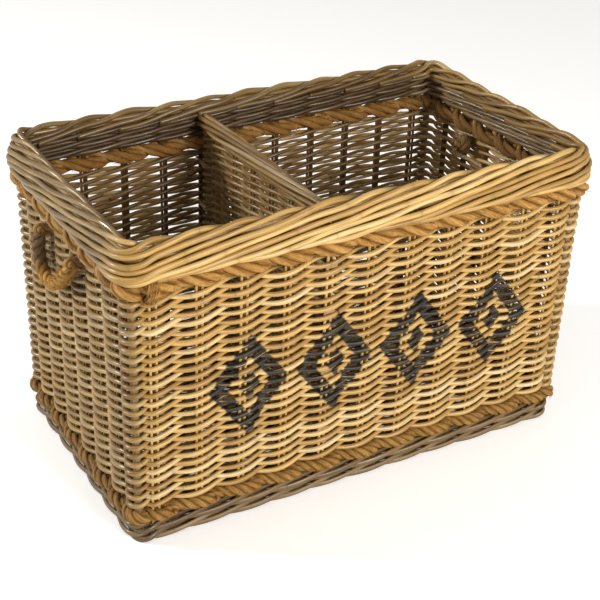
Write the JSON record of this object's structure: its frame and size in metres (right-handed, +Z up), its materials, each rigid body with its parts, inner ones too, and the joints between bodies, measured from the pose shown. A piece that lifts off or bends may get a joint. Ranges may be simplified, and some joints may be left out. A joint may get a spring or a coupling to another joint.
{
  "type": "wicker log basket",
  "caption": "Rectangular twined rattan log basket with rope bands, a rolled border, a fixed divider that makes a kindling bay, and swinging rope handles at the ends.",
  "frame": {"origin": "on the floor, at the centre of the footprint", "axes": "+X along the length, towards the end of the larger bay; +Y from the front wall to the back wall; +Z up"},
  "size_m": [0.7172, 0.4046, 0.432],
  "materials": {
    "wall_weave": "peeled rattan, satin, honey and grey-green streaks",
    "border": "peeled rattan, satin, pale straw",
    "foot_band": "peeled rattan, dull grey brown",
    "stakes": "thin rattan sticks, satin",
    "frame_rods": "rattan rod with its skin on",
    "base_weave": "rattan, dull",
    "divider_weave": "rattan, dark honey",
    "peel": "flat rattan peel",
    "top_rope": "twisted plant-fibre cord, fuzzy, orange brown",
    "bottom_rope": "twisted plant-fibre cord, fuzzy, brown",
    "handle_rope": "twisted plant-fibre rope, fuzzy",
    "pins": "plain steel panel pins"
  },
  "bodies": {
    "basket": {"base_cross_sticks": "frame_rods", "base_rail_back": "frame_rods", "base_rail_front": "frame_rods", "base_rail_left": "frame_rods", "base_rail_right": "frame_rods", "base_weave": "base_weave", "border": "border", "bottom_rope": "bottom_rope", "corner_post_back_left": "frame_rods", "corner_post_back_right": "frame_rods", "corner_post_front_left": "frame_rods", "corner_post_front_right": "frame_rods", "divider_border": "border", "divider_end_posts": "frame_rods", "divider_lashings": "peel", "divider_stakes": "stakes", "divider_top_rod": "frame_rods", "divider_weave": "divider_weave", "foot_band": "foot_band", "frame_pins": "pins", "handle_knots_left": "handle_rope", "handle_knots_right": "handle_rope", "rim_core_rod": "frame_rods", "rim_weave": "wall_weave", "stakes_back": "stakes", "stakes_front": "stakes", "stakes_left": "stakes", "stakes_right": "stakes", "top_rope": "top_rope", "weave_back": "wall_weave", "weave_corners": "wall_weave", "weave_front": "wall_weave", "weave_left": "wall_weave", "weave_right": "wall_weave"},
    "handle_left": {"handle_left": "handle_rope"},
    "handle_right": {"handle_right": "handle_rope"}
  },
  "joints": [
    {"name": "handle_left_swing", "type": "hinge", "parent": "basket", "child": "handle_left", "pos_m": [-0.35008, 0, 0.344], "axis": [0, 1, 0], "range_deg": [0, 135]},
    {"name": "handle_right_swing", "type": "hinge", "parent": "basket", "child": "handle_right", "pos_m": [0.35008, 0, 0.344], "axis": [0, -1, 0], "range_deg": [0, 135]}
  ]
}
